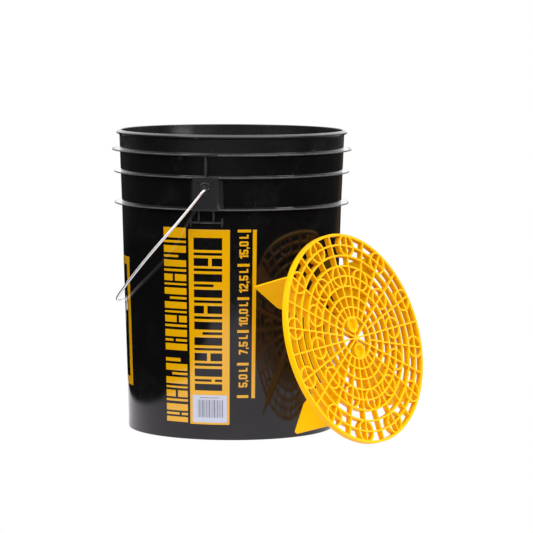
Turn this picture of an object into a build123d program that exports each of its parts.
from build123d import *
import os
from math import cos, sin, radians

# A round pail with a wire bail, prints and a label on its wall, and a round grit guard leaning
# against it. Millimetres. The origin is at the centre of the pail's base on the floor, +Z up.
# The printed front and one of the two ears face -Y; the bail hinges along Y and rests on the
# -X side; the guard stands outside the pail, towards +X and -Y.

os.makedirs("parts", exist_ok=True)


def save(part, name):
    """Label a finished piece and write its STEP file."""
    part.label = name
    export_step(part, f"parts/{name}.step")


# ---------------------------------------------------------------- pail dimensions
# Heights on the pail are taken from its datum, which lies this far above the floor.
datum_z = 1.4
height = 387.1            # top edge
wall_t = 2.1
# outer wall, straight cone between neighbours: (height, radius)
wall_pts = [(15.0, 134.2), (55.0, 135.3), (208.0, 140.4),
            (290.0, 142.9), (322.0, 144.2), (380.6, 146.35)]
rim_r = 150.4             # lip tip
foot_r = 134.1            # foot of the wall
land_in = 127.5           # foot ring, inner radius
floor_lo = 4.0            # underside of the floor plate
floor_hi = 6.5            # top of the floor plate

# hoops round the wall, lowest first: (height, outer radius)
low_hoop, mid_hoop, top_hoop = (292.9, 152.5), (333.4, 153.0), (361.9, 156.0)
hoop_t = 1.7
hoop_chamfer = 0.3
hoop_root = 0.25          # extra half thickness where a hoop meets the wall

# ears; y is the distance from the pail's axis
hinge_z = 319.4           # bail hinge above the floor
ear_y = 152.8             # ear face
ear_w = 32.0
ear_flare = 5.5           # extra half width where the ear meets the wall
ear_plate = 3.0
ear_root_y = 141.0
ear_z, ear_h = 291.5, 42.0
pocket_z, pocket_h = 287.9, 42.0
boss_r, boss_h = 4.7, 1.3
hood_h = 2.3
hood_out, hood_out_top = 6.3, 8.9    # outer arc: x and z of its ends, z of its top
hood_in, hood_in_top = 5.1, 7.2      # inner arc, likewise
feature_sink = 0.5        # boss and hood start this far inside the ear face
wire_d = 3.6
wire_play = 0.45          # radial clearance of the wire in its hole
shelf_z, shelf_t = 275.3, 1.9
# upright blocks in mirrored pairs at the shelf: (x, y distance, x size, y size, bottom, height)
shelf_blocks = [(20.2, 143.4, 1.4, 6.0, 270.9, 10.5),      # ticks at the shelf's ends
                (9.5, 144.3, 1.6, 7.0, shelf_z, 17.2)]     # gussets up to the ear


# ---------------------------------------------------------------- pail
def wall_r(z):
    """Outer wall radius at height z."""
    for (z0, r0), (z1, r1) in zip(wall_pts, wall_pts[1:]):
        if z <= z1:
            break
    return r0 + (r1 - r0) * (z - z0) / (z1 - z0)


def hoop_profile(z, r):
    """Section of a hoop, from its underside at the wall round to its top side."""
    wall = wall_r(z)
    half = hoop_t / 2
    return [(wall, z - half - hoop_root), (r - hoop_chamfer, z - half),
            (r, z - half + hoop_chamfer), (r, z + half - hoop_chamfer),
            (r - hoop_chamfer, z + half), (wall, z + half + hoop_root)]


def pail_profile():
    """Half section of the pail as (radius, height): up the outside, down the inside."""
    wall = [(r, z) for z, r in wall_pts]
    outer = [(land_in, -datum_z), (132.9, -datum_z), (133.8, -datum_z + 0.5),
             (foot_r, -datum_z + 1.6)]
    outer += wall[:4] + hoop_profile(*low_hoop)
    outer += [wall[4]] + hoop_profile(*mid_hoop) + hoop_profile(*top_hoop)
    outer += [wall[5], (149.6, 382.6), (rim_r, 383.5), (rim_r, 384.6), (149.7, 385.4),
              (146.6, 386.8), (146.0, height), (144.9, height), (144.3, 386.6)]
    inner = [(146.3 - wall_t, 379.1)] + [(r - wall_t, z) for r, z in reversed(wall[1:5])]
    inner += [(132.1, 15.5), (131.3, 11.4), (129.2, 8.4), (126.0, floor_hi), (0.0, floor_hi),
              (0.0, floor_lo), (126.3, floor_lo), (land_in, 2.8)]
    return outer + inner


def tapered(half_face, face_y, half_root, root_y):
    """Plan corners of a front feature with a given half width at its face and its root."""
    return [(-half_face, -face_y), (half_face, -face_y), (half_root, -root_y),
            (-half_root, -root_y)]


def make_pail():
    face_left, face_right, root_right, root_left = tapered(
        ear_w / 2, ear_y, ear_w / 2 + ear_flare, ear_root_y)
    # the back of the ear block follows the wall's curve
    ear_outline = [face_left, face_right, root_right, (10.0, -142.2), (0.0, -142.6),
                   (-10.0, -142.2), root_left]
    pocket_outline = tapered(13.0, ear_y - ear_plate, 13.6, 145.3)
    # (bottom, height, plan corners, mode)
    ear_body = [(ear_z, ear_h, ear_outline, Mode.ADD),
                (pocket_z, pocket_h, pocket_outline, Mode.SUBTRACT)]
    rib_and_shelf = [
        (mid_hoop[0], top_hoop[0] - mid_hoop[0], tapered(1.0, 152.9, 1.2, 143.8), Mode.ADD),
        (shelf_z, shelf_t, tapered(20.4, 146.0, 20.8, 140.9), Mode.ADD)]

    with BuildPart() as pail:
        with BuildSketch(Plane.XZ):
            with BuildLine():
                Polyline(*[(r, z + datum_z) for r, z in pail_profile()], close=True)
            make_face()
        revolve(axis=Axis.Z)

        # the same ear at the front and at the back
        for side in (0, 180):
            plan = Plane.XY.rotated((0, 0, side)).offset(datum_z)
            turn = radians(side)
            face = Plane(origin=(0, 0, hinge_z), x_dir=(cos(turn), sin(turn), 0),
                         z_dir=(sin(turn), -cos(turn), 0))
            # ear block, and the pocket behind its face, open at the bottom
            for bottom, rise, corners, mode in ear_body:
                with BuildSketch(plan.offset(bottom)):
                    with BuildLine():
                        Polyline(*corners, close=True)
                    make_face()
                extrude(amount=rise, mode=mode)
            # boss round the hinge hole
            with BuildSketch(face.offset(ear_y - feature_sink)):
                Circle(boss_r)
            extrude(amount=boss_h)
            # hood over the hole
            with BuildSketch(face.offset(ear_y - feature_sink)):
                with BuildLine():
                    ThreePointArc((-hood_out, hood_out), (0.0, hood_out_top),
                                  (hood_out, hood_out))
                    Line((hood_out, hood_out), (hood_in, hood_in))
                    ThreePointArc((hood_in, hood_in), (0.0, hood_in_top), (-hood_in, hood_in))
                    Line((-hood_in, hood_in), (-hood_out, hood_out))
                make_face()
            extrude(amount=hood_h)
            # hinge hole through boss and plate
            with BuildSketch(face.offset(ear_y - ear_plate - 1.0)):
                Circle(wire_d / 2 + wire_play)
            extrude(amount=8.0, mode=Mode.SUBTRACT)
            # thin rib between the two upper hoops, and the shelf below the ear
            for bottom, rise, corners, mode in rib_and_shelf:
                with BuildSketch(plan.offset(bottom)):
                    with BuildLine():
                        Polyline(*corners, close=True)
                    make_face()
                extrude(amount=rise, mode=mode)
            for x, y, x_size, y_size, bottom, rise in shelf_blocks:
                for mirrored_x in (-x, x):
                    with BuildSketch(plan.offset(bottom)):
                        with Locations((mirrored_x, -y)):
                            Rectangle(x_size, y_size)
                    extrude(amount=rise)
    return pail.part


save(make_pail(), "bucket_shell")

# ---------------------------------------------------------------- bail, bent from one wire
bail_half = 159.0         # leg distance from the mid-plane
bail_bend = 5.0           # centre-line radius where the end turns into the ear
bail_down = 52.0          # rest angle of the leg below horizontal
wire_end_y = ear_y - ear_plate - 2.4
head_r = 3.6              # retaining head on each wire end
head_t = 1.8
head_overlap = 0.1
head_taper = 8
# half the bow: (reach from the hinge, distance from the mid-plane, rise off the leg's line)
bail_bow = [(15.0, bail_half, 0.1), (35.0, bail_half, 0.5), (60.1, bail_half, 1.5),
            (90.0, 157.2, 3.5), (120.0, 144.5, 6.3), (149.8, 122.2, 9.9),
            (180.5, 89.4, 14.5), (206.8, 45.0, 19.1), (214.9, 0.0, 20.7)]


def make_bail():
    down = radians(bail_down)
    away = Vector(-cos(down), 0, -sin(down))
    # x along the leg, y along the hinge, z towards the pail
    bail_plane = Plane(origin=(0, 0, hinge_z), x_dir=away, z_dir=away.cross(Vector(0, 1, 0)))
    bend_y = bail_half - bail_bend
    bow = [(bail_bend, -bail_half, 0)]
    bow += [(reach, -y, -rise) for reach, y, rise in bail_bow]
    bow += [(reach, y, -rise) for reach, y, rise in reversed(bail_bow[:-1])]
    bow += [(bail_bend, bail_half, 0)]
    with BuildPart() as bail:
        with BuildLine(bail_plane) as path:
            Line((0, -wire_end_y), (0, -bend_y))
            JernArc(start=(0, -bend_y), tangent=(0, -1), radius=bail_bend, arc_size=90)
            Spline(*bow)
            JernArc(start=(bail_bend, bail_half), tangent=(-1, 0), radius=bail_bend,
                    arc_size=90)
            Line((0, bend_y), (0, wire_end_y))
        with BuildSketch(Plane(origin=path.wire() @ 0, z_dir=path.wire() % 0)):
            Circle(wire_d / 2)
        sweep(path=path.wire())
        # retaining heads inside the ears
        for side in (-1, 1):
            with BuildSketch(Plane(origin=(0, side * (wire_end_y - head_overlap), hinge_z),
                                   x_dir=(1, 0, 0), z_dir=(0, side, 0))):
                Circle(head_r)
            extrude(amount=head_t, taper=head_taper)
    return bail.part


save(make_bail(), "bail_wire")

# ---------------------------------------------------------------- grit guard
guard_r = 135.4           # outer radius
guard_rim_t = 3.2
guard_h = 7.6             # depth of rim, rings and ribs
guard_web = 2.2           # thickness of rings and ribs
# ring centre lines, as fractions of the outer radius
guard_rings = (0.89, 0.79, 0.69, 0.592, 0.495, 0.395, 0.295, 0.2)
spoke_in, spoke_out = 0.2 * guard_r, 0.99 * guard_r
spoke_count = 24
loop_r = 0.1 * guard_r    # centre line of the small loops
hub_r = 0.2 * guard_r     # reach of the hub's crossing bars
cup_at = 0.126 * guard_r  # cup centre from the guard's centre
cup_r = 0.077 * guard_r
dish_r = 0.058 * guard_r
dish_depth = 5.0
dish_taper = 24
vane_t = 2.4
vane_h = 61.6             # vane leg depth from the top plane
vane_top = -0.6           # vane's upper edge, just below the top plane
vane_out = guard_r - 0.2
# vane leg: (distance from the guard's centre, height from the top plane)
vane_outline = [(vane_out, vane_top), (vane_out, -vane_h), (0.66 * guard_r, -vane_h + 1.6),
                (0.29 * guard_r, -24.0), (0.215 * guard_r, vane_top)]
vane_corner_r = 4.0
# attitude of the guard's top plane, which faces outward and up
guard_at = (184.94, -98.92, 132.09)
guard_az = 63.76          # direction it faces, from -Y towards +X
guard_lean = 16.49        # tilt back from upright
guard_turn = -4.24        # turn about its own axis


def make_guard():
    azimuth, lean, turn = radians(guard_az), radians(guard_lean), radians(guard_turn)
    level = Vector(sin(azimuth), -cos(azimuth), 0)
    normal = level * cos(lean) + Vector(0, 0, 1) * sin(lean)
    rise = Vector(0, 0, 1) * cos(lean) - level * sin(lean)
    up_dir = rise * cos(turn) + rise.cross(normal) * sin(turn)
    top = Plane(origin=guard_at, x_dir=up_dir, z_dir=normal)
    loop_ring = Circle(loop_r + guard_web / 2) - Circle(loop_r - guard_web / 2)

    with BuildPart() as guard:
        # outer rim band
        with BuildSketch(top.offset(-guard_h)):
            Circle(guard_r)
            Circle(guard_r - guard_rim_t, mode=Mode.SUBTRACT)
        extrude(amount=guard_h)
        # the grille
        with BuildSketch(top.offset(-guard_h)):
            for fraction in guard_rings:
                Circle(fraction * guard_r + guard_web / 2)
                Circle(fraction * guard_r - guard_web / 2, mode=Mode.SUBTRACT)
            with PolarLocations((spoke_in + spoke_out) / 2, spoke_count):
                Rectangle(spoke_out - spoke_in, guard_web)
            # outer loops sit on the spokes between those that carry the inner loops
            with PolarLocations(0.89 * guard_r, spoke_count // 2, start_angle=15):
                add(loop_ring)
            with PolarLocations(0.592 * guard_r, spoke_count // 2):
                add(loop_ring)
            # hub bars and cups
            for angle in (60, 90, 120):
                Rectangle(2 * hub_r, guard_web, rotation=angle)
            Rectangle(2 * cup_at, guard_web)
            with Locations((cup_at, 0), (-cup_at, 0)):
                Circle(cup_r)
        extrude(amount=guard_h)
        # dished tops of the two cups
        with BuildSketch(top):
            with Locations((cup_at, 0), (-cup_at, 0)):
                Circle(dish_r)
        extrude(amount=-dish_depth, taper=dish_taper, mode=Mode.SUBTRACT)
        # four vane legs behind the grille, rounded at the outer far corner
        for angle in (45, 135, 225, 315):
            out_dir = up_dir * cos(radians(angle)) + normal.cross(up_dir) * sin(radians(angle))
            vane_plane = Plane(origin=guard_at, x_dir=out_dir, z_dir=out_dir.cross(normal))
            far_corner = top.origin + out_dir * guard_r - normal * vane_h
            with BuildSketch(vane_plane) as vane:
                with BuildLine():
                    Polyline(*vane_outline, close=True)
                make_face()
                fillet(vane.vertices().sort_by_distance(far_corner)[0], radius=vane_corner_r)
            extrude(amount=vane_t / 2, both=True)
    return guard.part


save(make_guard(), "grit_guard")

# ---------------------------------------------------------------- prints: shared tools
# Prints are laid out by arc length s, positive to the viewer's right, and height z. Each is cut
# from a thin conical skin just off the wall.
ink_gap = 0.02
ink_t = 0.12
ink_r = 140.0             # radius on which arc lengths are drawn
print_reach = 200.0       # cutting depth, past the wall

front = Plane.XZ
left = Plane(origin=(0, 0, 0), x_dir=(0, -1, 0), z_dir=(-1, 0, 0))


def on_wall(s, z):
    """Arc length and height to a point of the flat drawing in front of the cone."""
    return (wall_r(z) * sin(s / ink_r), z + datum_z)


def wall_breaks(z0, z1):
    """Heights between z0 and z1 where the wall's slope changes."""
    return [z for z, _ in wall_pts if z0 < z < z1]


def panel(s0, s1, z0, z1):
    """Corners of a print area that follows the cone."""
    mids = wall_breaks(z0, z1)
    return ([on_wall(s0, z0), on_wall(s1, z0)] + [on_wall(s1, z) for z in mids]
            + [on_wall(s1, z1), on_wall(s0, z1)] + [on_wall(s0, z) for z in reversed(mids)])


def column(blocks, s0, s1):
    """Panels for blocks of (bottom, top, left, right), the sides as fractions of s0 to s1."""
    width = s1 - s0
    return [panel(s0 + f0 * width, s0 + f1 * width, z0, z1) for z0, z1, f0, f1 in blocks]


def fills(outlines):
    return [(corners, Mode.ADD) for corners in outlines]


def cuts(outlines):
    return [(corners, Mode.SUBTRACT) for corners in outlines]


def make_print(side, shapes, z0=17.0, z1=272.0, gap=ink_gap, thick=ink_t):
    """Skin from z0 to z1, kept only where the (corners, mode) shapes cover it."""
    heights = [z0] + wall_breaks(z0, z1) + [z1]
    skin = [(wall_r(z) + gap, z + datum_z) for z in heights]
    skin += [(wall_r(z) + gap + thick, z + datum_z) for z in reversed(heights)]
    with BuildPart() as ink:
        with BuildSketch(front):
            with BuildLine():
                Polyline(*skin, close=True)
            make_face()
        revolve(axis=Axis.Z)
        with BuildSketch(side):
            for corners, mode in shapes:
                with BuildLine():
                    Polyline(*corners, close=True)
                make_face(mode=mode)
        extrude(amount=print_reach, mode=Mode.INTERSECT)
    return ink.part


# ---------------------------------------------------------------- front: column of bars
# (bottom, top, left fraction, right fraction)
bars = [
    (20.0, 26.5, 0, 1), (29.0, 32.0, 0, 0.62), (29.0, 32.0, 0.72, 1), (34.5, 43.0, 0, 1),
    (46.5, 49.5, 0, 1), (52.0, 60.5, 0, 0.45), (52.0, 60.5, 0.56, 1), (63.5, 66.0, 0, 1),
    (69.0, 77.5, 0, 1), (80.5, 83.5, 0.3, 1), (86.0, 94.5, 0, 1), (97.5, 102.0, 0, 0.7),
    (112.0, 120.5, 0, 1), (123.5, 126.5, 0, 0.38), (123.5, 126.5, 0.5, 1),
    (129.5, 138.5, 0, 1), (142.0, 145.0, 0, 1), (148.0, 156.5, 0, 0.55),
    (148.0, 156.5, 0.66, 1), (160.0, 162.5, 0, 1), (165.5, 174.0, 0, 1),
    (177.5, 180.5, 0.25, 1), (183.5, 192.0, 0, 1), (195.5, 198.0, 0, 1),
    (201.0, 209.5, 0, 0.4), (201.0, 209.5, 0.5, 1), (213.0, 216.0, 0, 1),
    (219.0, 227.5, 0, 1), (231.0, 234.0, 0, 0.66), (237.0, 246.0, 0, 1),
    (249.5, 252.5, 0, 1), (256.0, 269.0, 0, 1)]
save(make_print(front, fills(column(bars, -60.3, -27.7))), "front_bar_print")

# ---------------------------------------------------------------- front: panel with windows
# windows let the wall show: (bottom, top, left fraction, right fraction)
windows = [
    (62.0, 70.5, 0, 1), (73.5, 76.5, 0, 0.62), (73.5, 76.5, 0.74, 1), (80.0, 90.0, 0, 1),
    (93.5, 97.0, 0, 1), (100.0, 110.0, 0, 0.46), (100.0, 110.0, 0.58, 1),
    (113.5, 116.5, 0, 1), (120.0, 130.0, 0, 1), (133.5, 137.0, 0.3, 1),
    (140.0, 150.0, 0, 1), (153.5, 157.0, 0, 1), (160.5, 170.5, 0, 0.36),
    (160.5, 170.5, 0.48, 1), (174.0, 177.5, 0, 1), (181.0, 191.0, 0, 1),
    (194.5, 198.0, 0, 0.7), (201.0, 211.0, 0, 1), (214.5, 218.0, 0, 1),
    (221.0, 231.0, 0, 0.52), (221.0, 231.0, 0.64, 1), (234.5, 238.0, 0, 1),
    (241.5, 257.0, 0, 1)]
panel_shapes = fills([panel(-24.1, 29.0, 18.5, 267.5)]) + cuts(column(windows, -17.4, 19.4))
save(make_print(front, panel_shapes), "front_panel_print")

# ---------------------------------------------------------------- front: volume scale
fig_w, fig_h = 6.3, 11.5
stroke = 2.2
cut = 1.3                 # corner cut
mid = 0.58 * fig_h        # height of the figures' middle stroke
# character: (width, outlines); a first outline is filled, a second is cut out of it
figures = {
    "5": (fig_w, [[
        (0, fig_h), (fig_w, fig_h), (fig_w, fig_h - stroke), (stroke, fig_h - stroke),
        (stroke, mid), (fig_w - cut, mid), (fig_w, mid - cut), (fig_w, cut), (fig_w - cut, 0),
        (cut, 0), (0, cut), (0, stroke + 1.2), (stroke, stroke + 1.2), (stroke, stroke),
        (fig_w - stroke, stroke), (fig_w - stroke, mid - stroke), (0, mid - stroke)]]),
    "2": (fig_w, [[
        (0, 0), (fig_w, 0), (fig_w, stroke), (stroke + 0.4, stroke), (fig_w, mid - 0.6),
        (fig_w, fig_h - cut), (fig_w - cut, fig_h), (cut, fig_h), (0, fig_h - cut),
        (0, fig_h - stroke - 1.4), (stroke, fig_h - stroke - 1.4), (stroke, fig_h - stroke),
        (fig_w - stroke, fig_h - stroke), (fig_w - stroke, mid - 0.2), (0, stroke + 0.6)]]),
    "0": (fig_w, [
        [(cut, 0), (fig_w - cut, 0), (fig_w, cut), (fig_w, fig_h - cut),
         (fig_w - cut, fig_h), (cut, fig_h), (0, fig_h - cut), (0, cut)],
        [(stroke, stroke), (fig_w - stroke, stroke), (fig_w - stroke, fig_h - stroke),
         (stroke, fig_h - stroke)]]),
    "1": (4.2, [[
        (2.0, 0), (4.2, 0), (4.2, fig_h), (2.7, fig_h), (0, fig_h - 1.9), (0, fig_h - 4.0),
        (2.0, fig_h - 2.9)]]),
    "7": (fig_w, [[
        (0, fig_h), (fig_w, fig_h), (fig_w, fig_h - stroke), (3.6, 0), (1.2, 0),
        (fig_w - stroke - 0.4, fig_h - stroke), (0, fig_h - stroke)]]),
    "L": (5.0, [[(0, 0), (5.0, 0), (5.0, stroke), (stroke, stroke), (stroke, fig_h),
                 (0, fig_h)]]),
    ",": (2.2, [[(0, -1.8), (1.0, -1.8), (2.2, 0.2), (2.2, stroke), (0, stroke), (0, 0),
                 (0.6, -0.2)]]),
    " ": (1.6, []),
}
# ticks: (height, right end, text below)
ticks = [(54.8, 53.8, ""), (96.4, 53.8, "5,0 L"), (138.3, 53.8, "7,5 L"),
         (180.2, 53.8, "10,0 L"), (222.6, 53.8, "12,5 L"), (266.0, 55.4, "15,0 L")]
tick_left = 38.6
tick_half = 1.75
text_foot = 52.3          # arc length of the feet of the text
text_drop = 4.6           # from a tick's middle down to the end of its text
letter_gap = 0.95


def text_shapes(text, tick_z):
    """Shapes of a text that reads upwards and ends below its tick."""
    run = sum(figures[char][0] + letter_gap for char in text) - letter_gap
    start = tick_z - text_drop - run
    shapes = []
    for char in text:
        width, outlines = figures[char]
        for outline, mode in zip(outlines, (Mode.ADD, Mode.SUBTRACT)):
            shapes.append(([on_wall(text_foot - y, start + x) for x, y in outline], mode))
        start += width + letter_gap
    return shapes


scale_shapes = fills([panel(57.7, 62.6, 52.5, 267.6)])    # upright line
scale_shapes += fills([panel(tick_left, right, z - tick_half, z + tick_half)
                       for z, right, _ in ticks])
for z, _, text in ticks:
    scale_shapes += text_shapes(text, z)
save(make_print(front, scale_shapes), "volume_scale_print")

# ---------------------------------------------------------------- left side: frame and drops
frame_s, frame_z0, frame_z1 = 81.2, 57.3, 224.5
frame_band = 10.5         # top and bottom bands
frame_inner_s = frame_s - frame_band - 1    # the upright bands are 1 mm wider
frame_shapes = fills([panel(-frame_s, frame_s, frame_z0, frame_z1)])
frame_shapes += cuts([panel(-frame_inner_s, frame_inner_s,
                            frame_z0 + frame_band, frame_z1 - frame_band)])
save(make_print(left, frame_shapes, z0=50.0, z1=230.0), "side_frame_print")

# (arc length, height, bowl radius)
drops = [(0.0, 141.0, 23.0), (-37.0, 146.0, 13.5), (37.0, 146.0, 13.5),
         (-61.0, 159.0, 6.0), (61.0, 159.0, 6.0)]
drop_tip = 2.25           # height of the tip above the bowl's centre, in bowl radii


def drop(s, z, r):
    """Outline of a water drop with its bowl centred at s, z: round below, pointed above."""
    bowl = [(r * sin(radians(a)), -r * cos(radians(a))) for a in range(-115, 116, 10)]
    return [on_wall(s + x, z + y) for x, y in bowl] + [on_wall(s, z + drop_tip * r)]


save(make_print(left, fills([drop(*place) for place in drops]), z0=100.0, z1=215.0),
     "side_emblem_print")

# ---------------------------------------------------------------- front: barcode label
label_gap = 2 * ink_gap + ink_t      # the label lies over the foot of the panel print
label_t = 0.1
stripe_gap = label_gap + label_t + ink_gap
stripe_t = 0.06
# (left edge, width)
stripes = [(-13.3, 0.7), (-11.4, 1.5), (-9.0, 0.6), (-7.4, 2.0), (-4.4, 0.7), (-2.6, 1.2),
           (-0.4, 0.6), (1.3, 1.8), (4.2, 0.7), (6.0, 0.7), (7.9, 2.1), (11.0, 0.6),
           (12.7, 1.4), (15.2, 0.7), (17.0, 0.7), (18.9, 1.5)]
save(make_print(front, fills([panel(-20.4, 25.7, 21.0, 56.2)]), z0=19.0, z1=60.0,
                gap=label_gap, thick=label_t), "barcode_label")

# upright stripes, and a thin level line above them
stripe_shapes = fills([panel(s, s + width, 27.6, 50.1) for s, width in stripes])
stripe_shapes += fills([panel(-10.0, 15.0, 52.4, 53.3)])
save(make_print(front, stripe_shapes, z0=19.0, z1=60.0, gap=stripe_gap, thick=stripe_t),
     "barcode_stripes")
